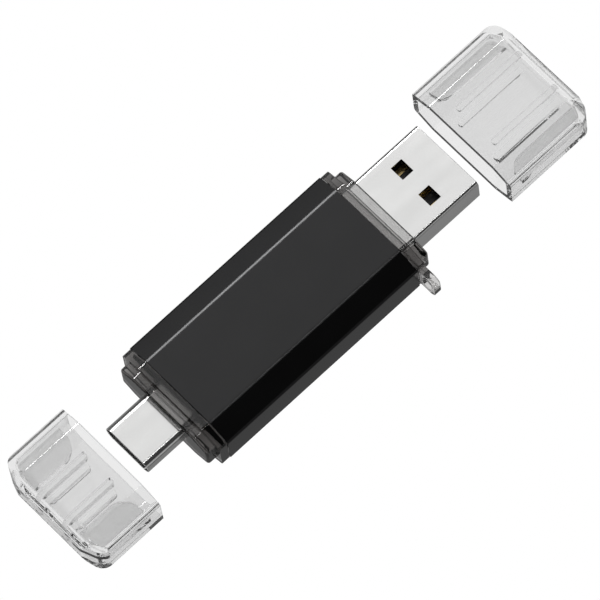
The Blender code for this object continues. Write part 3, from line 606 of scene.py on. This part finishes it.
def loop_shapes(frames):
    """The lanyard loop, which starts inside the band, and its hole."""
    root = -HALF_WIDTH + frames.band_length / 2
    tip = -HALF_WIDTH - frames.loop_reach
    top = frames.loop_height / 2
    low = frames.face_gap + frames.band_inset
    high = frames.face_gap + frames.band_length - frames.band_inset
    radii = {0: frames.loop_corner, 3: frames.loop_corner}
    loop = prism(rectangle(tip, -top, root, top), "X", low, high, radii)
    middle = -HALF_WIDTH - frames.loop_reach / 2 + frames.band_inset
    half_width = frames.loop_hole_width / 2
    half_height = frames.loop_hole_height / 2
    corners = rectangle(middle - half_width, -half_height, middle + half_width, half_height)
    radius = LOOP_HOLE_ROUNDNESS * half_width
    hole = prism(corners, "X", low - OVERSHOOT, high + OVERSHOOT, {n: radius for n in range(4)})
    return loop, hole


def node_size(node):
    low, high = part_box(node)
    return high - low


def plug_hole(node, fit, radius, low, high):
    """A bar of the plug's own section, grown by the fit."""
    size = node_size(node)
    return rounded_bar(size.y + 2 * fit, size.z + 2 * fit, radius + fit, low, high)


def rail_shapes(frames):
    """The two rails that carry the board, and the groove in them."""
    low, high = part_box("usb_a_end_frame")
    board_low, board_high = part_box("circuit_board")
    rear = low.x - SLEEVE_HIGH.x
    front = -frames.spigot_length + frames.face_gap
    outer = HALF_WIDTH - frames.spigot_inset
    inner = board_high.y - RAIL_GRIP
    rails = [
        prism(rectangle(rear, -outer, front, -inner), "Z", -RAIL_RISE, RAIL_RISE),
        prism(rectangle(rear, inner, front, outer), "Z", -RAIL_RISE, RAIL_RISE),
    ]
    fit = frames.plug_fit
    board_end = board_high.x - SLEEVE_HIGH.x
    groove = prism(
        rectangle(rear - OVERSHOOT, board_low.y - fit, board_end + fit, board_high.y + fit),
        "Z",
        board_low.z - MIDDLE_Z - fit,
        board_high.z - MIDDLE_Z + fit,
    )
    return rails, groove


class FLASHDRIVE_OT_end_frames(bpy.types.Operator):
    """Make the two smoke-grey end frames and the lanyard loop"""

    bl_idname = "flashdrive.end_frames"
    bl_label = "End Frames"

    def execute(self, context):
        sleeve = context.scene.flashdrive_sleeve
        frames = context.scene.flashdrive_frames
        plugs = context.scene.flashdrive_plugs
        smoke = smoke_material(frames)
        reach = PLUG_HOLE_REACH

        spigot, band, boss = end_frame_shapes(sleeve, frames, frames.boss_a_length)
        loop, loop_hole = loop_shapes(frames)
        hole = plug_hole("usb_a_shell", frames.plug_fit, plugs.corner_a, -reach, reach)
        rails, groove = rail_shapes(frames)
        obj = make_object("usb_a_frame", band)
        combine(obj, "UNION", spigot, boss, loop, *rails)
        combine(obj, "DIFFERENCE", hole, loop_hole, groove)
        soften_edges(obj, frames.edge, 3)
        finish_piece(obj, END_A, "drive", ["usb_a_end_frame"], smoke)

        spigot, band, boss = end_frame_shapes(sleeve, frames, frames.boss_c_length)
        radius = FULL_ROUND * node_size("usb_c_shell").z
        hole = plug_hole("usb_c_shell", frames.plug_fit, radius, -reach, reach)
        board_low, board_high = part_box("circuit_board")
        fit = frames.plug_fit
        edge = SLEEVE_LOW.x - board_low.x + fit
        slot = prism(
            rectangle(-reach, board_low.y - fit, edge, board_high.y + fit),
            "Z",
            board_low.z - MIDDLE_Z - fit,
            board_high.z - MIDDLE_Z + fit,
        )
        obj = make_object("usb_c_frame", band)
        combine(obj, "UNION", spigot, boss)
        combine(obj, "DIFFERENCE", hole, slot)
        soften_edges(obj, frames.edge, 3)
        finish_piece(obj, END_C, "drive", ["usb_c_end_frame"], smoke)
        return {"FINISHED"}


# ---- Plugs ----


class FLASHDRIVE_OT_plugs(bpy.types.Operator):
    """Make the two plug shells and finish what they hold"""

    bl_idname = "flashdrive.plugs"
    bl_label = "Plugs"

    def execute(self, context):
        plugs = context.scene.flashdrive_plugs
        steel = steel_material(plugs)
        make_usb_a_shell(plugs, steel)
        make_usb_c_shell(plugs, steel)
        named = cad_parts
        dress_nodes([name for name in named if "_contact_" in name], gold_material())
        dress_nodes([name for name in named if "_spring" in name], steel)
        black = plastic_material("black_plastic", (0.012, 0.012, 0.012), 0.4)
        dress_nodes(["usb_a_insulator", "usb_c_insulator"], black)
        return {"FINISHED"}


def window_shapes(plugs, tip, reach):
    """Cutters for the two windows, which go through the top and the bottom."""
    middle = tip - plugs.window_from_tip
    shapes = []
    for offset in (-plugs.window_offset, plugs.window_offset):
        corners = rectangle(
            middle - plugs.window_length / 2,
            offset - plugs.window_width / 2,
            middle + plugs.window_length / 2,
            offset + plugs.window_width / 2,
        )
        radii = {index: plugs.window_corner for index in range(4)}
        shapes.append(prism(corners, "Z", -reach, reach, radii, 4))
    return shapes


def ribbon(path, width):
    """The outline of a band that follows a path, with its edges parallel to the path."""
    points = [Vector(point) for point in path]
    left, right = [], []
    for index, here in enumerate(points):
        arriving = (here - points[max(index - 1, 0)]).normalized()
        leaving = (points[min(index + 1, len(points) - 1)] - here).normalized()
        along = (arriving + leaving).normalized()
        across = Vector((-along.y, along.x))
        bend = arriving.angle(leaving) if arriving.length and leaving.length else 0.0
        offset = across * width / 2 / math.cos(bend / 2)
        left.append(here + offset)
        right.append(here - offset)
    return [tuple(point) for point in left + right[::-1]]


def seam_shape(plugs, low, high, level):
    """The groove of the folded seam: straight, with one dovetail that locks it."""
    middle = (low + high) / 2
    tail = plugs.seam_tail
    neck = tail - SEAM_SLANT * plugs.seam_depth
    path = [
        (low - OVERSHOOT, 0.0),
        (middle - neck, 0.0),
        (middle - tail, plugs.seam_depth),
        (middle + tail, plugs.seam_depth),
        (middle + neck, 0.0),
        (high + OVERSHOOT, 0.0),
    ]
    return prism(ribbon(path, plugs.seam), "Z", level - OVERSHOOT, level + plugs.sheet_a / 3)


def make_usb_a_shell(plugs, steel):
    low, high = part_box("usb_a_shell")
    size = high - low
    rear = low.x - SLEEVE_HIGH.x
    tip = high.x - SLEEVE_HIGH.x
    sheet = plugs.sheet_a
    obj = make_object("usb_a_plug_shell", rounded_bar(size.y, size.z, plugs.corner_a, rear, tip))
    bore = rounded_bar(
        size.y - 2 * sheet, size.z - 2 * sheet, plugs.corner_a - sheet, rear - OVERSHOOT, tip + OVERSHOOT
    )
    combine(obj, "DIFFERENCE", bore)
    soften_edges(obj, plugs.lip_a, 3, is_across)
    windows = window_shapes(plugs, tip, size.z)
    combine(obj, "DIFFERENCE", *windows, seam_shape(plugs, rear, tip, -size.z / 2))
    finish_piece(obj, END_A, "drive", ["usb_a_shell"], steel)


def make_usb_c_shell(plugs, steel):
    low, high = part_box("usb_c_shell")
    size = high - low
    rear = SLEEVE_LOW.x - high.x
    tip = SLEEVE_LOW.x - low.x
    inner = size.z - 2 * plugs.sheet_c
    outside = rounded_bar(size.y, size.z, FULL_ROUND * size.z, rear, tip, SHELL_C_STEPS)
    obj = make_object("usb_c_plug_shell", outside)
    bore = rounded_bar(
        size.y - 2 * plugs.sheet_c,
        inner,
        FULL_ROUND * inner,
        rear - OVERSHOOT,
        tip + OVERSHOOT,
        SHELL_C_STEPS,
    )
    combine(obj, "DIFFERENCE", bore)
    soften_edges(obj, plugs.lip_c / 2, 3, is_across)
    finish_piece(obj, END_C, "drive", ["usb_c_shell"], steel)


# ---- Board ----


class FLASHDRIVE_OT_board(bpy.types.Operator):
    """Finish the circuit board and its components"""

    bl_idname = "flashdrive.board"
    bl_label = "Board"

    def execute(self, context):
        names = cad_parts
        chips = [name for name in names if name.endswith(("_chip", "_regulator"))]
        chips += [name for name in names if name.startswith("resistor")]
        dress_nodes(chips, plastic_material("chip_resin", (0.03, 0.03, 0.03), 0.5))
        dress_nodes([name for name in names if name.startswith("capacitor")], ceramic_material())
        dress_nodes(["circuit_board"], board_material())
        dress_nodes(["clock_crystal"], steel_material(context.scene.flashdrive_plugs))
        dress_nodes(["activity_lamp"], clear_material("lamp_resin", (0.85, 0.92, 0.95), 1.5))
        return {"FINISHED"}


# ---- Caps ----


def cap_plan(sleeve, caps, length, inset, reach):
    """The far end from above: flat, with two sloped corners and rounded shoulders."""
    side = HALF_WIDTH + TRIM_GAP
    flat = sleeve.flat_width / 2
    slope = math.atan2(caps.corner_back, side - flat)
    at_flat = inset * math.tan(slope / 2)
    at_side = inset * math.tan((math.pi / 2 - slope) / 2)
    points = [
        (-2 * OVERSHOOT, inset - side),
        (length - caps.corner_back - at_side, inset - side),
        (length - inset, at_flat - flat),
    ]
    points += [(x, -y) for x, y in reversed(points)]
    radii = {1: caps.corner_radius - inset, 4: caps.corner_radius - inset}
    return prism(points, "Z", -reach, reach, radii, caps.segments)


def cap_profile(length, inset, radius, reach, segments):
    """The far end from the side, where its top and bottom edges are round."""
    up = HALF_HEIGHT - inset + TRIM_GAP
    corners = rectangle(-OVERSHOOT, -up, length - inset + TRIM_GAP, up)
    return prism(corners, "Y", -reach, reach, {1: radius, 2: radius}, segments)


def fin_shape(caps, length, recess, radius, inner, side):
    """One side fin, with a round corner at its front."""
    outer = HALF_WIDTH + OVERSHOOT
    rear = length + OVERSHOOT
    corners = rectangle(recess, inner, rear, outer)
    points = [(x, side * y) for x, y in corners]
    half = caps.fin_thickness / 2
    return prism(points, "Z", -half, half, {0: radius}, caps.segments)


def rib_shapes(caps, length, recess, offset, level):
    """The two ribs at one offset, above and below the plug."""
    front = recess + caps.rib_setback
    half = caps.rib_width / 2
    corners = rectangle(front, offset - half, length + OVERSHOOT, offset + half)
    radii = {0: caps.rib_nose, 3: caps.rib_nose}
    reach = HALF_HEIGHT + OVERSHOOT
    return [
        prism(corners, "Z", level, reach, radii, 6),
        prism(corners, "Z", -reach, -level, radii, 6),
    ]


def make_cap(name, sleeve, caps, end, place, material):
    """One clear cap around the plug that its end's settings describe."""
    node, plug, recess, fin_radius, rib_offset = end
    low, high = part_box(node)
    length = high.x - low.x
    plug_size = node_size(plug)
    reach = HALF_WIDTH + OVERSHOOT
    obj = make_object(name, eight_sided_bar(sleeve, 0.0, 0.0, length + OVERSHOOT))
    combine(
        obj,
        "INTERSECT",
        cap_plan(sleeve, caps, length, 0.0, reach),
        cap_profile(length, 0.0, caps.end_radius, reach, caps.segments),
    )

    inside = length - caps.end_wall + caps.wall
    room = make_object(name + "_room", eight_sided_bar(sleeve, caps.wall, -OVERSHOOT / 2, length))
    combine(
        room,
        "INTERSECT",
        cap_plan(sleeve, caps, inside, caps.wall, reach),
        cap_profile(inside, caps.wall, caps.inner_end_radius, reach, caps.segments),
    )
    inner = plug_size.y / 2 + caps.fin_fit
    level = plug_size.z / 2 + caps.rib_fit
    fins = [fin_shape(caps, length, recess, fin_radius, inner, side) for side in (1, -1)]
    ribs = []
    for offset in (-rib_offset, rib_offset):
        ribs += rib_shapes(caps, length, recess, offset, level)
    combine(room, "DIFFERENCE", *fins, *ribs)

    hollow = bmesh.new()
    hollow.from_mesh(room.data)
    bpy.data.objects.remove(room)
    combine(obj, "DIFFERENCE", hollow)
    soften_edges(obj, caps.edge, 2)
    finish_piece(obj, place, node, [node], material)


class FLASHDRIVE_OT_caps(bpy.types.Operator):
    """Make the two clear caps"""

    bl_idname = "flashdrive.caps"
    bl_label = "Caps"

    def execute(self, context):
        sleeve = context.scene.flashdrive_sleeve
        caps = context.scene.flashdrive_caps
        clear = clear_material("clear_plastic", caps.colour, 1.49)
        end_a = ("usb_a_cap", "usb_a_shell", caps.recess_a, caps.fin_a_radius, caps.rib_a_offset)
        end_c = ("usb_c_cap", "usb_c_shell", caps.recess_c, caps.fin_c_radius, caps.rib_c_offset)
        make_cap("usb_a_clear_cap", sleeve, caps, end_a, CAP_A_MOUTH, clear)
        make_cap("usb_c_clear_cap", sleeve, caps, end_c, CAP_C_MOUTH, clear)
        return {"FINISHED"}


# ---- Stage ----


CLEAR_BOUNCES = 18  # light crosses many walls of clear plastic and is turned back inside them
MIRROR_BOUNCES = 9
FLOOR_SIZE = 4.0
FLOOR_DROP = 0.02 * MM  # keeps the floor off the faces that rest on it

CAMERA_AZIMUTH = math.radians(-33.974)
CAMERA_ELEVATION = math.radians(67.874)
CAMERA_ROLL = math.radians(-10.146)
CAMERA_LENS = 480.0
CAMERA_DISTANCE = 1.061
CAMERA_ASIDE = 3.01 * MM
CAMERA_UP = 3.68 * MM


def add_camera():
    back = Vector(
        (
            math.sin(CAMERA_AZIMUTH) * math.cos(CAMERA_ELEVATION),
            -math.cos(CAMERA_AZIMUTH) * math.cos(CAMERA_ELEVATION),
            math.sin(CAMERA_ELEVATION),
        )
    )
    level = Vector((0, 0, 1)).cross(back).normalized()
    upright = back.cross(level)
    right = level * math.cos(CAMERA_ROLL) + upright * math.sin(CAMERA_ROLL)
    up = back.cross(right)
    data = bpy.data.cameras.new("camera")
    data.lens = CAMERA_LENS
    data.clip_start = 0.05
    data.clip_end = 20.0
    camera = bpy.data.objects.new("camera", data)
    camera.matrix_world = Matrix(
        (
            (right.x, up.x, back.x, 0),
            (right.y, up.y, back.y, 0),
            (right.z, up.z, back.z, 0),
            (0, 0, 0, 1),
        )
    )
    camera.location = right * CAMERA_ASIDE + up * CAMERA_UP + back * CAMERA_DISTANCE
    bpy.context.scene.collection.objects.link(camera)
    bpy.context.scene.camera = camera


def add_panel(name, place, width, height, power, seen_through=True):
    """A soft rectangular light that faces the drive, with its width turned along the drive."""
    data = bpy.data.lights.new(name, "AREA")
    data.shape = "RECTANGLE"
    data.size = width
    data.size_y = height
    data.energy = power
    lamp = bpy.data.objects.new(name, data)
    lamp.visible_transmission = seen_through
    away = Vector(place).normalized()
    along = (Vector((1, 0, 0)) - away * away.x).normalized()
    across = away.cross(along)
    lamp.matrix_world = Matrix.Translation(place) @ Matrix((along, across, away)).transposed().to_4x4()
    bpy.context.scene.collection.objects.link(lamp)


def light_path_tone(tree, camera, through, mirrored, other):
    """A brightness for each kind of ray that reaches the stage; a ray through plastic is glossy as well."""
    path = tree.nodes.new("ShaderNodeLightPath")
    tone = None
    for output, value in (
        ("Is Glossy Ray", mirrored),
        ("Is Transmission Ray", through),
        ("Is Camera Ray", camera),
    ):
        mix = tree.nodes.new("ShaderNodeMix")
        tree.links.new(path.outputs[output], mix.inputs["Factor"])
        if tone is None:
            mix.inputs["A"].default_value = other
        else:
            tree.links.new(tone, mix.inputs["A"])
        mix.inputs["B"].default_value = value
        tone = mix.outputs["Result"]
    return tone


class FLASHDRIVE_OT_stage(bpy.types.Operator):
    """Make the camera, the floor and the lights"""

    bl_idname = "flashdrive.stage"
    bl_label = "Stage"

    def execute(self, context):
        stage = context.scene.flashdrive_stage
        context.scene.view_settings.view_transform = "Standard"
        context.scene.cycles.max_bounces = CLEAR_BOUNCES
        context.scene.cycles.transmission_bounces = CLEAR_BOUNCES
        context.scene.cycles.glossy_bounces = MIRROR_BOUNCES
        add_camera()

        shape = bmesh.new()
        bmesh.ops.create_grid(shape, x_segments=1, y_segments=1, size=FLOOR_SIZE)
        floor = make_object("floor", shape)
        floor.location.z = -FLOOR_DROP
        material = bpy.data.materials.new("floor_white")
        material.use_nodes = True
        tree = material.node_tree
        tree.nodes.clear()
        glow = tree.nodes.new("ShaderNodeEmission")
        result = tree.nodes.new("ShaderNodeOutputMaterial")
        tone = light_path_tone(
            tree, stage.floor_tone, stage.through_tone, stage.mirrored_tone, stage.scattered_tone
        )
        tree.links.new(tone, glow.inputs["Strength"])
        tree.links.new(glow.outputs["Emission"], result.inputs["Surface"])
        floor.data.materials.append(material)

        world = bpy.data.worlds.new("room")
        context.scene.world = world
        world.use_nodes = True
        tree = world.node_tree
        background = tree.nodes["Background"]
        background.inputs["Color"].default_value = (1.0, 1.0, 1.0, 1.0)
        tone = light_path_tone(tree, stage.floor_tone, stage.room_tone, stage.room_tone, stage.room_tone)
        tree.links.new(tone, background.inputs["Strength"])

        add_panel("overhead panel", (0.15, 0.22, 0.66), 0.6, 0.26, 0.46)
        add_panel("far edge strip", (0.13, 0.37, 0.46), 0.8, 0.11, 4.4, False)
        add_panel("near edge strip", (0.14, -0.01, 0.62), 0.8, 0.03, 0.5, False)
        add_panel("side panel", (0.13, 0.5, 0.31), 0.9, 0.1, 0.24)
        add_panel("front fill", (-0.1, -0.7, 0.27), 0.8, 0.3, 0.35)
        add_panel("far end card", (0.7, 0.25, 0.14), 0.3, 0.5, 0.4)
        add_panel("near end card", (-0.7, -0.1, 0.2), 0.4, 0.6, 0.75)
        return {"FINISHED"}


# ---- Add-on ----


class FLASHDRIVE_PT_looks(bpy.types.Panel):
    """The operators that make the drive's looks"""

    bl_label = "Flash Drive"
    bl_idname = "FLASHDRIVE_PT_looks"
    bl_space_type = "VIEW_3D"
    bl_region_type = "UI"
    bl_category = "Flash Drive"

    def draw(self, context):
        for operator in OPERATORS:
            self.layout.operator(operator.bl_idname)


OPERATORS = (
    FLASHDRIVE_OT_stage,
    FLASHDRIVE_OT_sleeve,
    FLASHDRIVE_OT_end_frames,
    FLASHDRIVE_OT_plugs,
    FLASHDRIVE_OT_board,
    FLASHDRIVE_OT_caps,
)
SETTINGS = {
    "flashdrive_stage": StageSettings,
    "flashdrive_sleeve": SleeveSettings,
    "flashdrive_frames": EndFrameSettings,
    "flashdrive_plugs": PlugSettings,
    "flashdrive_caps": CapSettings,
}


def register():
    for name, group in SETTINGS.items():
        bpy.utils.register_class(group)
        setattr(bpy.types.Scene, name, PointerProperty(type=group))
    for operator in OPERATORS:
        bpy.utils.register_class(operator)
    bpy.utils.register_class(FLASHDRIVE_PT_looks)


def unregister():
    bpy.utils.unregister_class(FLASHDRIVE_PT_looks)
    for operator in reversed(OPERATORS):
        bpy.utils.unregister_class(operator)
    for name, group in SETTINGS.items():
        delattr(bpy.types.Scene, name)
        bpy.utils.unregister_class(group)


def main():
    register()
    bpy.ops.flashdrive.stage()
    bpy.ops.flashdrive.sleeve()
    bpy.ops.flashdrive.end_frames()
    bpy.ops.flashdrive.plugs()
    bpy.ops.flashdrive.board()
    bpy.ops.flashdrive.caps()


if __name__ == "__main__":
    main()
